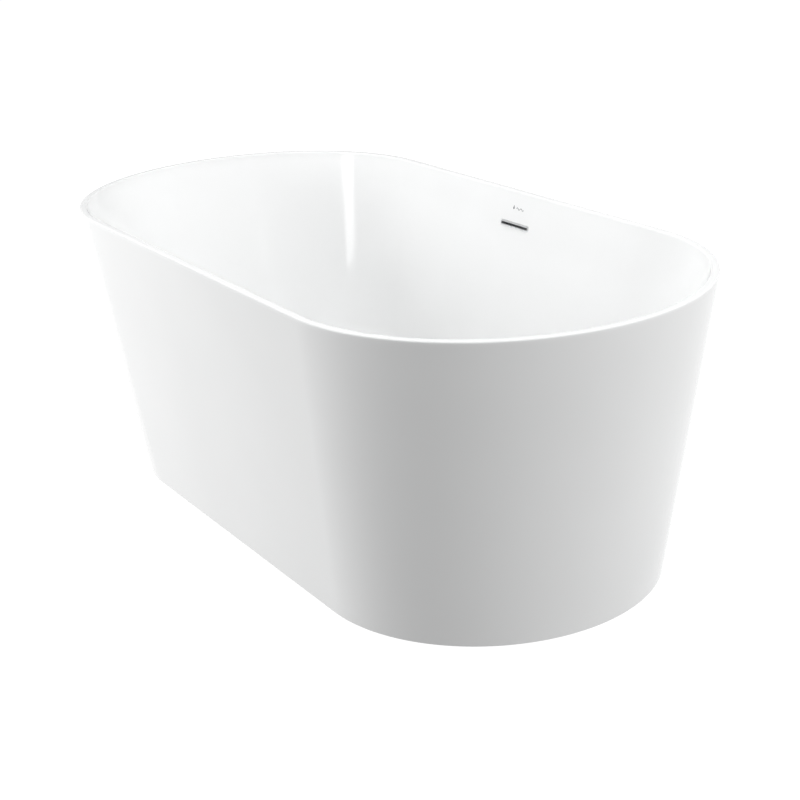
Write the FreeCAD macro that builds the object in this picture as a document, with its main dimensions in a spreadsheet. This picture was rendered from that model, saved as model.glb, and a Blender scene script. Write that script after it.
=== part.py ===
"""Freestanding bathtub: a tapered racetrack tub with its frame, feet, overflow and pop-up drain.

The tub stands on the floor, z = 0, with X along its length, -Y the front and Z up.
Every size is in millimetres and comes from the Dimensions sheet.
"""
import FreeCAD, Part
import os
import math
import Sketcher

DIMENSIONS = {
    # overall shape: two racetracks, each two half circles joined by straight sides
    "tub_height": 600,
    "rim_radius": 400,
    "rim_straight": 450,
    "base_radius": 336,
    "base_straight": 388,
    "rim_width": 15,
    "rim_depth": 10,
    "rim_rounding": 3.5,
    # bathing well
    "floor_level": 150,
    "floor_radius": 250,
    "floor_straight": 370,
    "floor_fillet": 110,
    "acrylic": 4.5,
    "laminate": 3.5,
    "laminate_top": 575,
    # skirt
    "skirt_bottom": 4,
    "skirt_wall": 5,
    "skirt_laminate": 3,
    "flange_width": 33,
    "bond_height": 12,
    # floor board and steel frame
    "board_thickness": 12,
    "board_radius": 138,
    "board_opening": 62,
    "tube_wall": 2,
    "tube_width": 30,
    "tube_depth": 25,
    "rail_offset": 110,
    "rail_half_length": 440,
    "crossbar_offset": 380,
    "mid_crossbar_offset": 130,
    "crossbar_half_length": 285,
    "bolt_radius": 4,
    "bolt_head_radius": 7.5,
    "bolt_head_height": 5.3,
    "screw_radius": 2.5,
    "screw_head_radius": 4.5,
    "screw_head_height": 2.5,
    "board_screw_outer": 300,
    "board_screw_inner": 90,
    # skirt brackets
    "bracket_sheet": 2.5,
    "bracket_width": 40,
    "bracket_start": 248,
    "bracket_drop": 300,
    "bracket_end": 326,
    "bracket_bolt": 268,
    "bracket_screw": 315,
    # levelling feet
    "foot_offset": 225,
    "stem_radius": 5.9,
    "nut_bore": 6,
    "stem_top": 132,
    "nut_height": 10,
    "nut_radius": 11,
    "pad_radius": 25,
    "pad_edge": 6,
    "pad_boss_radius": 11,
    "pad_height": 18,
    "pad_socket": 6,
    # overflow
    "slot_level": 532,
    "slot_half_length": 48,
    "slot_half_height": 3.75,
    "trim_lip": 2,
    "trim_wall": 1.5,
    "trim_thickness": 1.6,
    "gasket": 1.5,
    "housing_top": 548,
    "housing_bottom": 430,
    "housing_half_width": 58,
    "housing_wall": 2,
    "housing_clearance": 1,
    "spigot_radius": 12.5,
    "spigot_bore": 10.5,
    "spigot_start": 434,
    "spigot_end": 392,
    # overflow hose
    "hose_radius": 15,
    "hose_bend": 150,
    "hose_top": 424,
    "hose_level": 78,
    "hose_end": 48,
    "clamp_width": 9,
    "clamp_band": 1.2,
    # drain
    "dish_radius": 40,
    "dish_depth": 2,
    "drain_hole": 26.5,
    "drain_flange_radius": 35,
    "drain_flange": 2.5,
    "drain_seal": 1,
    "drain_tube_radius": 25,
    "drain_tube_bore": 22,
    "drain_tube_bottom": 116,
    "lower_seal": 3,
    "tee_flange_radius": 40,
    "tee_flange": 3,
    "tee_radius": 30,
    "tee_neck_radius": 25,
    "tee_neck_top": 56,
    "tee_bottom": 42,
    "inlet_end": 82,
    "tail_radius": 20,
    "tail_neck": 19,
    "tail_bore": 18,
    "tail_top": 60,
    "tail_collar": 33,
    "tail_bottom": 12,
    "slip_nut_radius": 30,
    "slip_nut_height": 18,
    "slip_flute_radius": 2.5,
    "slip_flutes": 12,
    # pop-up stopper
    "cap_radius": 32,
    "cap_edge": 3,
    "cap_dome": 6,
    "cap_seal": 1.5,
    "stopper_stem_radius": 4,
    "stopper_stem_bottom": 108,
    "cartridge_radius": 8,
    "cartridge_top": 128,
    "cartridge_bottom": 112,
    "spoke_width": 5,
    "spoke_height": 6,
    "spokes": 4,
    "spring_inner": 5,
    "spring_outer": 7,
}


doc = FreeCAD.newDocument("Bathtub")
sheet = doc.addObject("Spreadsheet::Sheet", "Dimensions")
for row, (alias, size) in enumerate(DIMENSIONS.items(), start=1):
    sheet.set(f"A{row}", alias)
    sheet.set(f"B{row}", str(size))
    sheet.setAlias(f"B{row}", alias)
doc.recompute()

parts = []


# ---------------------------------------------------------------- tools
def size(alias):
    """The expression that reads one cell of the sheet."""
    return f"Dimensions.{alias}"


def value(expression):
    """The present number of an expression."""
    found = sheet.evalExpression(str(expression))
    return float(getattr(found, "Value", found))


def keep(item, label):
    """Name a finished sub-part and list it for export."""
    item.Label = label
    parts.append(item)
    return item


def new_body(name):
    return doc.addObject("PartDesign::Body", name)


def new_sketch(body, plane="XY_Plane", offset=("0", "0", "0"), turn=None):
    """A sketch on an origin plane, moved by offset and turned about its own X axis."""
    sketch = body.newObject("Sketcher::SketchObject", "Sketch")
    origin_plane = [item for item in body.Origin.OriginFeatures if item.Role == plane][0]
    sketch.AttachmentSupport = (origin_plane, [""])
    sketch.MapMode = "FlatFace"
    if turn is not None:
        sketch.AttachmentOffset = FreeCAD.Placement(
            FreeCAD.Vector(0, 0, 0), FreeCAD.Rotation(FreeCAD.Vector(1, 0, 0), 1)
        )
        sketch.setExpression("AttachmentOffset.Rotation.Angle", turn)
    for axis, distance in zip("xyz", offset):
        if distance != "0":
            sketch.setExpression(f"AttachmentOffset.Base.{axis}", distance)
    return sketch


def constrain(sketch, kind, *where, expression=None):
    """Add one constraint and bind it to an expression where it has a size."""
    if expression is None:
        sketch.addConstraint(Sketcher.Constraint(kind, *where))
        return
    index = sketch.addConstraint(Sketcher.Constraint(kind, *where, value(expression)))
    sketch.setExpression(f"Constraints[{index}]", expression)


def pin_point(sketch, geometry, point, across, up):
    """Fix one sketch point at two expressions measured from the sketch's origin."""
    for expression, kind, axis in ((across, "DistanceX", -2), (up, "DistanceY", -1)):
        if abs(value(expression)) < 1e-9:
            constrain(sketch, "PointOnObject", geometry, point, axis)
        else:
            constrain(sketch, kind, -1, 1, geometry, point, expression=expression)


def draw_polygon(sketch, points):
    """A closed outline through points, each a pair of expressions."""
    corners = [FreeCAD.Vector(value(across), value(up), 0) for across, up in points]
    first = sketch.GeometryCount
    count = len(points)
    for number in range(count):
        line = Part.LineSegment(corners[number], corners[(number + 1) % count])
        sketch.addGeometry(line, False)
    for number, (across, up) in enumerate(points):
        previous = first + (number - 1) % count
        constrain(sketch, "Coincident", previous, 2, first + number, 1)
        pin_point(sketch, first + number, 1, across, up)


def draw_box(sketch, left, right, bottom, top):
    draw_polygon(sketch, [(left, bottom), (right, bottom), (right, top), (left, top)])


def draw_circle(sketch, radius, across="0", up="0"):
    centre = FreeCAD.Vector(value(across), value(up), 0)
    circle = Part.Circle(centre, FreeCAD.Vector(0, 0, 1), value(radius))
    number = sketch.addGeometry(circle, False)
    constrain(sketch, "Radius", number, expression=radius)
    pin_point(sketch, number, 3, across, up)


def draw_racetrack(sketch, radius, straight, up="0"):
    """Two half circles of one radius, their centres straight from the middle, and two sides."""
    r = value(radius)
    half = value(straight)
    level = value(up)
    quarter = math.pi / 2
    normal = FreeCAD.Vector(0, 0, 1)
    first = sketch.GeometryCount
    right_circle = Part.Circle(FreeCAD.Vector(half, level, 0), normal, r)
    left_circle = Part.Circle(FreeCAD.Vector(-half, level, 0), normal, r)
    top = (FreeCAD.Vector(-half, level + r, 0), FreeCAD.Vector(half, level + r, 0))
    bottom = (FreeCAD.Vector(half, level - r, 0), FreeCAD.Vector(-half, level - r, 0))
    sketch.addGeometry(Part.LineSegment(*top), False)
    sketch.addGeometry(Part.ArcOfCircle(right_circle, -quarter, quarter), False)
    sketch.addGeometry(Part.LineSegment(*bottom), False)
    sketch.addGeometry(Part.ArcOfCircle(left_circle, quarter, 3 * quarter), False)
    constrain(sketch, "Tangent", first, 2, first + 1, 2)
    constrain(sketch, "Tangent", first + 1, 1, first + 2, 1)
    constrain(sketch, "Tangent", first + 2, 2, first + 3, 2)
    constrain(sketch, "Tangent", first + 3, 1, first, 1)
    constrain(sketch, "Equal", first + 1, first + 3)
    constrain(sketch, "Radius", first + 1, expression=radius)
    constrain(sketch, "DistanceX", -1, 1, first + 1, 3, expression=straight)
    constrain(sketch, "DistanceX", first + 3, 3, -1, 1, expression=straight)
    for centre in (first + 1, first + 3):
        if abs(level) < 1e-9:
            constrain(sketch, "PointOnObject", centre, 3, -1)
        elif centre == first + 1:
            constrain(sketch, "DistanceY", -1, 1, centre, 3, expression=up)


def extrude(body, sketch, length, kind="Pad", both=False, backwards=False):
    """A Pad or a Pocket of the sketch, its length bound to an expression."""
    feature = body.newObject(f"PartDesign::{kind}", kind)
    feature.Profile = sketch
    feature.setExpression("Length", length)
    feature.Midplane = both
    feature.Reversed = backwards
    doc.recompute()
    return feature


def revolve(body, sketch, kind="Revolution"):
    """A full turn of the sketch about its vertical axis."""
    feature = body.newObject(f"PartDesign::{kind}", kind)
    feature.Profile = sketch
    feature.ReferenceAxis = (sketch, ["V_Axis"])
    feature.Angle = 360
    doc.recompute()
    return feature


def loft(body, lower, upper, kind="AdditiveLoft"):
    """A ruled loft from one outline to the next."""
    feature = body.newObject(f"PartDesign::{kind}", kind)
    feature.Profile = lower
    feature.Sections = [upper]
    feature.Ruled = True
    doc.recompute()
    return feature


def round_edges(body, level, radius, widest=None, narrowest=None):
    """Fillet the level edges at one height whose reach in Y lies between the two limits."""
    base = body.Tip
    names = []
    for number, edge in enumerate(base.Shape.Edges, start=1):
        ends = [vertex.Point for vertex in edge.Vertexes]
        heights = [point.z for point in ends] + [edge.CenterOfMass.z]
        reach = max(abs(point.y) for point in ends)
        if max(abs(height - level) for height in heights) > 0.05:
            continue
        if widest is not None and reach > widest:
            continue
        if narrowest is not None and reach < narrowest:
            continue
        names.append(f"Edge{number}")
    fillet = body.newObject("PartDesign::Fillet", "Fillet")
    fillet.Base = (base, names)
    fillet.setExpression("Radius", radius)
    doc.recompute()
    return fillet


def turned(label, profile, place=("0", "0", "0")):
    """A body turned from one closed profile of (radius, height) points, then placed."""
    body = new_body(label)
    sketch = new_sketch(body, "XZ_Plane")
    draw_polygon(sketch, profile)
    revolve(body, sketch)
    move(body, place)
    return keep(body, label)


def ring_profile(inner, outer, bottom, top):
    return [(inner, bottom), (outer, bottom), (outer, top), (inner, top)]


def move(item, place):
    for axis, distance in zip("xyz", place):
        if distance != "0":
            item.setExpression(f"Placement.Base.{axis}", distance)


def primitive(kind, sizes, place=("0", "0", "0")):
    """A Part primitive with its sizes and place bound to expressions."""
    item = doc.addObject(f"Part::{kind}", kind)
    for name, expression in sizes.items():
        item.setExpression(name, expression)
    move(item, place)
    return item


def headed_pin(radius, length, head_radius, head_height, place, hexagonal):
    """A bolt or screw with its head downwards, its shank going up from place."""
    x, y, z = place
    head_place = (x, y, f"{z} - {head_height}")
    if hexagonal:
        head = primitive("Prism", {"Circumradius": head_radius, "Height": head_height}, head_place)
    else:
        head = primitive("Cylinder", {"Radius": head_radius, "Height": head_height}, head_place)
    shank = primitive("Cylinder", {"Radius": radius, "Height": length}, place)
    pin = doc.addObject("Part::Fuse", "Pin")
    pin.Base = head
    pin.Tool = shank
    return pin


def group(label, items):
    """Identical fasteners as separate solids of one sub-part."""
    compound = doc.addObject("Part::Compound", label)
    compound.Links = items
    return keep(compound, label)


def minus(alias):
    return f"-{size(alias)}"


# ---------------------------------------------------------------- shared surfaces
def skirt_radius(level, inset="0"):
    """End radius of the outer surface at a level, less an inset."""
    rise = f"({size('rim_radius')} - {size('base_radius')}) / {size('tub_height')}"
    return f"{size('base_radius')} + {rise} * ({level}) - ({inset})"


def skirt_straight(level):
    rise = f"({size('rim_straight')} - {size('base_straight')}) / {size('tub_height')}"
    return f"{size('base_straight')} + {rise} * ({level})"


WELL_DEPTH = f"({size('tub_height')} - {size('floor_level')})"
WELL_MOUTH = f"({size('rim_radius')} - {size('rim_width')})"
WELL_LEAN = f"(({WELL_MOUTH} - {size('floor_radius')}) / {WELL_DEPTH})"
END_RUN = f"({WELL_MOUTH} + {size('rim_straight')} - {size('floor_radius')} - {size('floor_straight')})"
SIDE_LEAN = f"atan({WELL_LEAN})"
END_LEAN = f"atan({END_RUN} / {WELL_DEPTH})"
FILLET_CENTRE = f"({size('floor_level')} + {size('floor_fillet')})"


def well_radius(level, outset="0"):
    """End radius of the bathing surface at a level, plus an outset."""
    return f"{WELL_MOUTH} - {WELL_LEAN} * ({size('tub_height')} - ({level})) + ({outset})"


def well_straight(level):
    rise = f"({size('rim_straight')} - {size('floor_straight')}) / {WELL_DEPTH}"
    return f"{size('floor_straight')} + {rise} * (({level}) - {size('floor_level')})"


def racetrack_at(body, level, radius, straight):
    sketch = new_sketch(body, "XY_Plane", ("0", "0", level))
    draw_racetrack(sketch, radius, straight)
    return sketch


def skirt_loft(body, bottom, top, inset, kind="AdditiveLoft"):
    """The tapered outer form between two levels, drawn in by inset."""
    lower = racetrack_at(body, bottom, skirt_radius(bottom, inset), skirt_straight(bottom))
    upper = racetrack_at(body, top, skirt_radius(top, inset), skirt_straight(top))
    return loft(body, lower, upper, kind)


def well_loft(body, bottom, top, outset, kind="AdditiveLoft"):
    """The tapered bathing form between two levels, spread by outset."""
    lower = racetrack_at(body, bottom, well_radius(bottom, outset), well_straight(bottom))
    upper = racetrack_at(body, top, well_radius(top, outset), well_straight(top))
    return loft(body, lower, upper, kind)


def cut_overflow(body, margin):
    """The overflow opening, cut level through the back wall."""
    slot = new_sketch(body, "XZ_Plane")
    radius = f"{size('slot_half_height')} + {margin}"
    straight = f"{size('slot_half_length')} - {size('slot_half_height')}"
    draw_racetrack(slot, radius, straight, size("slot_level"))
    extrude(body, slot, size("tub_height"), "Pocket", backwards=False)


def cut_drain(body, level, radius, depth):
    """A round opening in the floor, cut down from a level."""
    circle = new_sketch(body, "XY_Plane", ("0", "0", level))
    draw_circle(circle, radius)
    extrude(body, circle, depth, "Pocket")


SHELL = f"({size('acrylic')} + {size('laminate')})"
TRIM_MARGIN = f"{size('trim_wall')} + 0.1"


# ---------------------------------------------------------------- shells
def corner_reach(angle, lean, wall, outset):
    """Reach of a wall and its floor fillet, an angle up the fillet from the floor."""
    radius = f"({size('floor_fillet')} + {outset})"
    if value(angle) > 90 - value(lean) + 1e-6:
        return wall(f"{FILLET_CENTRE} - {radius} * cos({angle})")
    centre = f"{wall(FILLET_CENTRE)} - {radius} / cos({lean})"
    return f"{centre} + {radius} * sin({angle})"


def well_form(body, top, outset):
    """The bathing form as a solid spread by outset: a rounded floor corner and leaning walls."""
    def side_wall(level):
        return f"({well_radius(level, outset)})"

    def end_wall(level):
        return f"({well_radius(level, outset)} + {well_straight(level)})"

    radius = f"({size('floor_fillet')} + {outset})"
    angles = [f"{step} deg" for step in (0, 10, 20, 30, 40, 50)]
    angles += [f"(90 deg - {END_LEAN})", f"(90 deg - {SIDE_LEAN})"]
    outlines = []
    for angle in angles:
        side = corner_reach(angle, SIDE_LEAN, side_wall, outset)
        end = corner_reach(angle, END_LEAN, end_wall, outset)
        level = f"{FILLET_CENTRE} - {radius} * cos({angle})"
        outlines.append(racetrack_at(body, level, side, f"{end} - ({side})"))
    corner = body.newObject("PartDesign::AdditiveLoft", "Corner")
    corner.Profile = outlines[0]
    corner.Sections = outlines[1:]
    corner.Ruled = False
    doc.recompute()
    well_loft(body, level, top, outset)


def hollow_out(body, top, outset):
    """Cut the whole bathing form, spread by outset, out of a body."""
    tool = new_body("Hollow")
    well_form(tool, top, outset)
    cut = body.newObject("PartDesign::Boolean", "Hollowed")
    cut.setObjects([tool])
    cut.Type = "Cut"
    doc.recompute()


def basin():
    """The acrylic bathing shell with its thin rolled rim."""
    body = new_body("basin")
    lip = f"{size('tub_height')} - {size('rim_depth')}"
    skirt_loft(body, lip, size("tub_height"), "0")
    well_form(body, f"{lip} + {size('rim_depth')} / 2", size("acrylic"))
    hollow_out(body, f"{size('tub_height')} + 1", "0")
    round_edges(body, value(size("tub_height")), size("rim_rounding"))
    cut_drain(body, size("floor_level"), size("dish_radius"), size("dish_depth"))
    cut_drain(body, size("floor_level"), size("drain_hole"), size("floor_level"))
    cut_overflow(body, TRIM_MARGIN)
    return keep(body, "basin")


def basin_laminate():
    """Glass-fibre and resin laid up behind the acrylic shell."""
    body = new_body("basin_laminate")
    well_form(body, size("laminate_top"), SHELL)
    hollow_out(body, f"{size('laminate_top')} + 1", size("acrylic"))
    cut_drain(body, size("floor_level"), size("drain_hole"), size("floor_level"))
    cut_overflow(body, TRIM_MARGIN)
    return keep(body, "basin_laminate")


def skirt():
    """The one-piece outer apron with a flange turned in at the bottom."""
    body = new_body("skirt")
    bottom = size("skirt_bottom")
    flange_top = f"{bottom} + {size('skirt_wall')}"
    top = f"{size('tub_height')} - {size('rim_depth')}"
    skirt_loft(body, bottom, top, "0")
    skirt_loft(body, flange_top, top, size("skirt_wall"), "SubtractiveLoft")
    opening = racetrack_at(
        body, flange_top, skirt_radius(bottom, size("flange_width")), skirt_straight(bottom)
    )
    extrude(body, opening, f"2 * {size('skirt_wall')}", "Pocket")
    round_edges(body, value(bottom), "2", narrowest=value(size("base_radius")) - 10)
    return keep(body, "skirt")


def skirt_laminate():
    """Glass-fibre and resin laid up behind the apron."""
    body = new_body("skirt_laminate")
    bottom = f"{size('skirt_bottom')} + {size('skirt_wall')}"
    top = size("laminate_top")
    skirt_loft(body, bottom, top, size("skirt_wall"))
    inset = f"{size('skirt_wall')} + {size('skirt_laminate')}"
    skirt_loft(body, bottom, top, inset, "SubtractiveLoft")
    return keep(body, "skirt_laminate")


def rim_bond():
    """The bead of bonding paste that joins the apron to the underside of the rim."""
    body = new_body("rim_bond")
    top = f"{size('tub_height')} - {size('rim_depth')}"
    bottom = f"{top} - {size('bond_height')}"
    skirt_loft(body, bottom, top, size("skirt_wall"))
    well_loft(body, bottom, top, size("acrylic"), "SubtractiveLoft")
    return keep(body, "rim_bond")


# ---------------------------------------------------------------- floor board and frame
BOARD_TOP = f"{size('floor_level')} - {SHELL}"
BOARD_BOTTOM = f"({BOARD_TOP} - {size('board_thickness')})"
RAIL_BOTTOM = f"({BOARD_BOTTOM} - {size('tube_depth')})"
BAR_BOTTOM = f"({RAIL_BOTTOM} - {size('tube_depth')})"
CROSSBARS = {
    "left": minus("crossbar_offset"),
    "mid": minus("mid_crossbar_offset"),
    "right": size("crossbar_offset"),
}
SIDES = {"front": -1, "back": 1}
HALF_TUBE = f"{size('tube_width')} / 2"


def board_screw_places():
    places = []
    for along in ("board_screw_outer", "board_screw_inner"):
        for end in (-1, 1):
            for side in SIDES.values():
                places.append((f"{end} * {size(along)}", f"{side} * {size('rail_offset')}"))
    return places


def frame_bolt_places():
    places = []
    for along in CROSSBARS.values():
        for side in SIDES.values():
            places.append((along, f"{side} * {size('rail_offset')}"))
    return places


def floor_board():
    """The plywood board bonded under the bathing floor."""
    body = new_body("floor_board")
    outline = racetrack_at(body, BOARD_BOTTOM, size("board_radius"), size("floor_straight"))
    draw_circle(outline, size("board_opening"))
    extrude(body, outline, size("board_thickness"))
    holes = new_sketch(body, "XY_Plane", ("0", "0", f"{BOARD_BOTTOM} + 9"))
    for across, up in board_screw_places():
        draw_circle(holes, size("screw_radius"), across, up)
    extrude(body, holes, "9", "Pocket")
    return keep(body, "floor_board")


def hollow_bar(body, half_length, plane, level):
    """A square-cornered steel tube drawn on one upright plane and extruded both ways."""
    section = new_sketch(body, plane)
    top = f"{level} + {size('tube_depth')}"
    draw_box(section, f"-{HALF_TUBE}", HALF_TUBE, level, top)
    inner = f"{HALF_TUBE} - {size('tube_wall')}"
    low = f"{level} + {size('tube_wall')}"
    high = f"{top} - {size('tube_wall')}"
    draw_box(section, f"-({inner})", inner, low, high)
    extrude(body, section, f"2 * {half_length}", both=True)


def rail(side_name, side):
    """A long tube under the board, drilled for the board screws and the frame bolts."""
    label = f"rail_{side_name}"
    body = new_body(label)
    hollow_bar(body, size("rail_half_length"), "YZ_Plane", RAIL_BOTTOM)
    screws = new_sketch(body, "XY_Plane", ("0", "0", f"{BOARD_BOTTOM} + 1"))
    for along in ("board_screw_outer", "board_screw_inner"):
        for end in ("", "-"):
            draw_circle(screws, size("screw_radius"), f"{end}{size(along)}")
    extrude(body, screws, f"2 * {size('tube_depth')}", "Pocket")
    bolts = new_sketch(body, "XY_Plane", ("0", "0", f"{RAIL_BOTTOM} + {size('tube_wall')} + 1"))
    for along in CROSSBARS.values():
        draw_circle(bolts, size("bolt_radius"), along)
    extrude(body, bolts, size("tube_depth"), "Pocket")
    move(body, ("0", f"{side} * {size('rail_offset')}", "0"))
    return keep(body, label)


def crossbar(name, along):
    """A tube across the frame with holes for its two feet, frame bolts and bracket bolts."""
    label = f"crossbar_{name}"
    body = new_body(label)
    hollow_bar(body, size("crossbar_half_length"), "XZ_Plane", BAR_BOTTOM)
    drill = [("foot_offset", f"{size('nut_bore')} + 0.6"), ("rail_offset", size("bolt_radius"))]
    if name != "mid":
        drill.append(("bracket_bolt", size("bolt_radius")))
    holes = new_sketch(body, "XY_Plane", ("0", "0", f"{RAIL_BOTTOM} + 1"))
    for place, radius in drill:
        for sign in ("", "-"):
            draw_circle(holes, radius, "0", f"{sign}{size(place)}")
    extrude(body, holes, f"2 * {size('tube_depth')}", "Pocket")
    move(body, (along, "0", "0"))
    return keep(body, label)


def board_screws():
    """Wood screws up through the rails into the board."""
    length = f"{size('tube_depth')} + 9"
    screws = []
    for along, across in board_screw_places():
        place = (along, across, RAIL_BOTTOM)
        screws.append(headed_pin(size("screw_radius"), length, size("screw_head_radius"),
                                 size("screw_head_height"), place, False))
    return group("board_screws", screws)


def frame_bolts():
    """Thread-forming hexagon bolts up through the crossbars into the rails."""
    length = f"{size('tube_depth')} + {size('tube_wall')} + 4"
    bolts = []
    for along, across in frame_bolt_places():
        place = (along, across, BAR_BOTTOM)
        bolts.append(headed_pin(size("bolt_radius"), length, size("bolt_head_radius"),
                                size("bolt_head_height"), place, True))
    return group("frame_bolts", bolts)


def skirt_bracket(label, along, side):
    """A Z-bent steel strap from a crossbar down to the flange of the apron."""
    body = new_body(label)
    sheet_metal = size("bracket_sheet")
    top = f"{RAIL_BOTTOM} + {sheet_metal}"
    seat = f"({size('skirt_bottom')} + {size('skirt_wall')})"
    drop = size("bracket_drop")
    profile = [
        (size("bracket_start"), RAIL_BOTTOM),
        (f"{drop} - {sheet_metal}", RAIL_BOTTOM),
        (f"{drop} - {sheet_metal}", seat),
        (size("bracket_end"), seat),
        (size("bracket_end"), f"{seat} + {sheet_metal}"),
        (drop, f"{seat} + {sheet_metal}"),
        (drop, top),
        (size("bracket_start"), top),
    ]
    section = new_sketch(body, "YZ_Plane")
    draw_polygon(section, [(f"{side} * ({across})", up) for across, up in profile])
    extrude(body, section, size("bracket_width"), both=True)
    bolt = new_sketch(body, "XY_Plane", ("0", "0", f"{top} + 1"))
    draw_circle(bolt, size("bolt_radius"), "0", f"{side} * {size('bracket_bolt')}")
    extrude(body, bolt, f"{sheet_metal} + 2", "Pocket")
    screw = new_sketch(body, "XY_Plane", ("0", "0", f"{seat} + {sheet_metal} + 1"))
    draw_circle(screw, size("screw_radius"), "0", f"{side} * {size('bracket_screw')}")
    extrude(body, screw, f"{sheet_metal} + 2", "Pocket")
    move(body, (along, "0", "0"))
    return keep(body, label)


def bracket_places():
    places = []
    for name in ("left", "right"):
        for side_name, side in SIDES.items():
            places.append((f"bracket_{side_name}_{name}", CROSSBARS[name], side))
    return places


def bracket_bolts():
    """Hexagon bolts up through the crossbar ends into the brackets."""
    length = f"{size('tube_depth')} + {size('bracket_sheet')} + 5"
    bolts = []
    for _, along, side in bracket_places():
        place = (along, f"{side} * {size('bracket_bolt')}", BAR_BOTTOM)
        bolts.append(headed_pin(size("bolt_radius"), length, size("bolt_head_radius"),
                                size("bolt_head_height"), place, True))
    return group("bracket_bolts", bolts)


def flange_screws():
    """Rivet-headed screws that hold the brackets to the apron's flange."""
    seat = f"{size('skirt_bottom')} + {size('skirt_wall')} + {size('bracket_sheet')}"
    screws = []
    for _, along, side in bracket_places():
        across = f"{side} * {size('bracket_screw')}"
        head = primitive("Cylinder", {"Radius": size("screw_head_radius"),
                                      "Height": size("screw_head_height")}, (along, across, seat))
        shank = primitive("Cylinder", {"Radius": size("screw_radius"),
                                       "Height": size("bracket_sheet")},
                          (along, across, f"{seat} - {size('bracket_sheet')}"))
        screw = doc.addObject("Part::Fuse", "Screw")
        screw.Base = head
        screw.Tool = shank
        screws.append(screw)
    return group("flange_screws", screws)


# ---------------------------------------------------------------- levelling feet
def foot_places():
    places = []
    for name, along in CROSSBARS.items():
        for side_name, side in SIDES.items():
            places.append((f"{side_name}_{name}", along, f"{side} * {size('foot_offset')}"))
    return places


def nuts(label, level):
    """Six hexagon nuts at one level, one round each foot's stem."""
    items = []
    for _, along, across in foot_places():
        place = (along, across, level)
        sizes = {"Circumradius": size("nut_radius"), "Height": size("nut_height")}
        bore = {"Radius": size("nut_bore"), "Height": size("nut_height")}
        nut = doc.addObject("Part::Cut", "Nut")
        nut.Base = primitive("Prism", sizes, place)
        nut.Tool = primitive("Cylinder", bore, place)
        items.append(nut)
    return group(label, items)


def foot_pad(name, along, across):
    """The moulded foot that stands on the floor, with a socket for the stem's ball end."""
    profile = [
        ("0", "0"),
        (f"{size('pad_radius')} - 1", "0"),
        (size("pad_radius"), "1"),
        (size("pad_radius"), size("pad_edge")),
        (f"{size('pad_boss_radius')} + 2", f"{size('pad_edge')} + 4"),
        (size("pad_boss_radius"), size("pad_height")),
        (size("nut_bore"), size("pad_height")),
        (size("nut_bore"), size("pad_socket")),
        ("0", size("pad_socket")),
    ]
    return turned(f"foot_pad_{name}", profile, (along, across, "0"))


def foot_stem(name, along, across):
    """The threaded steel stem, with chamfered ends."""
    radius = size("stem_radius")
    profile = [
        ("0", size("pad_socket")),
        (f"{radius} - 1", size("pad_socket")),
        (radius, f"{size('pad_socket')} + 1"),
        (radius, f"{size('stem_top')} - 1.2"),
        (f"{radius} - 1.2", size("stem_top")),
        ("0", size("stem_top")),
    ]
    return turned(f"foot_stem_{name}", profile, (along, across, "0"))


# ---------------------------------------------------------------- overflow
def wall_reach(level, outset):
    """Y of the back wall's bathing side at a level, plus an outset."""
    return f"({well_radius(level, outset)})"


def apron_reach(level, inset):
    return f"({skirt_radius(level, inset)})"


HOUSING_FRONT = f"{SHELL} + {size('gasket')}"
HOUSING_BACK = f"{size('skirt_wall')} + {size('skirt_laminate')} + {size('housing_clearance')}"


def slot_sleeve(body, margin, front, back):
    """A level plug of the slot's outline between two distances from the middle."""
    sketch = new_sketch(body, "XZ_Plane", ("0", "0", f"-({back})"))
    radius = f"{size('slot_half_height')} + {margin}"
    straight = f"{size('slot_half_length')} - {size('slot_half_height')}"
    draw_racetrack(sketch, radius, straight, size("slot_level"))
    return sketch, f"({back}) - ({front})"


def overflow_trim():
    """The chromed bezel of the slot, with a sleeve that plugs into the housing."""
    body = new_body("overflow_trim")
    level = size("slot_level")
    back = f"{wall_reach(level, HOUSING_FRONT)} + {size('housing_wall')}"
    sleeve, length = slot_sleeve(body, size("trim_wall"), wall_reach(level, "0"), back)
    extrude(body, sleeve, length)
    lean = f"90 deg - atan({WELL_LEAN})"
    lip = f"{size('trim_wall')} + {size('trim_lip')}"
    face = new_sketch(body, "XY_Plane", ("0", wall_reach(level, "0"), level), lean)
    straight = f"{size('slot_half_length')} - {size('slot_half_height')}"
    draw_racetrack(face, f"{size('slot_half_height')} + {lip}", straight)
    extrude(body, face, size("trim_thickness"))
    mouth, depth = slot_sleeve(body, "0", f"{wall_reach(level, '0')} - 10", f"{back} + 1")
    extrude(body, mouth, depth, "Pocket", backwards=True)
    return keep(body, "overflow_trim")


def overflow_gasket():
    """The foam gasket between the laminate and the housing."""
    body = new_body("overflow_gasket")
    top = size("housing_top")
    low = f"{size('slot_level')} - 22"
    profile = [
        (wall_reach(top, SHELL), top),
        (wall_reach(low, SHELL), low),
        (wall_reach(low, HOUSING_FRONT), low),
        (wall_reach(top, HOUSING_FRONT), top),
    ]
    section = new_sketch(body, "YZ_Plane")
    draw_polygon(section, profile)
    extrude(body, section, f"2 * {size('housing_half_width')}", both=True)
    cut_overflow(body, TRIM_MARGIN)
    return keep(body, "overflow_gasket")


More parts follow.
